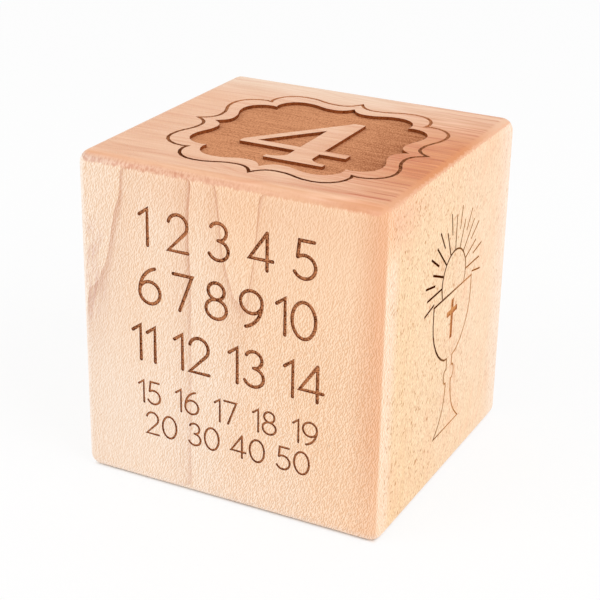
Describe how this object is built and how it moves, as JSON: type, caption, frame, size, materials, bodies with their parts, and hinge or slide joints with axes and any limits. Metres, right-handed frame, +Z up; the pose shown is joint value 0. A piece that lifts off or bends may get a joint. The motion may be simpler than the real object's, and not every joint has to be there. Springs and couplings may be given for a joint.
{
  "type": "wooden keepsake block",
  "caption": "Solid maple block with rounded edges, a sunk bracket-outline label panel inside a border line on top and a chalice emblem burnt into its right side.",
  "frame": {"origin": "middle of the base, on the surface that the block stands on", "axes": "+Z up along the grain, front face towards -Y, emblem side towards +X, back towards +Y"},
  "size_m": [0.0636, 0.0608, 0.0657],
  "materials": {
    "maple": "bare sanded hard maple with a faint satin sheen, grain upright and end grain on top",
    "scorched": "matt brown scorched wood with fine burn rows",
    "charred": "matt dark brown charred wood"
  },
  "bodies": {
    "root": {"maple_block": "maple", "top_panel_char": "scorched", "top_border_char": "charred", "chalice_char": "charred", "cross_char": "charred", "host_char": "charred", "ray_01_char": "charred", "ray_02_char": "charred", "ray_03_char": "charred", "ray_04_char": "charred", "ray_05_char": "charred", "ray_06_char": "charred", "ray_07_char": "charred", "ray_08_char": "charred", "ray_09_char": "charred", "ray_10_char": "charred", "ray_11_char": "charred", "ray_12_char": "charred", "ray_13_char": "charred", "ray_14_char": "charred", "ray_15_char": "charred", "ray_16_char": "charred", "ray_17_char": "charred", "ray_18_char": "charred", "ray_19_char": "charred"}
  },
  "joints": []
}
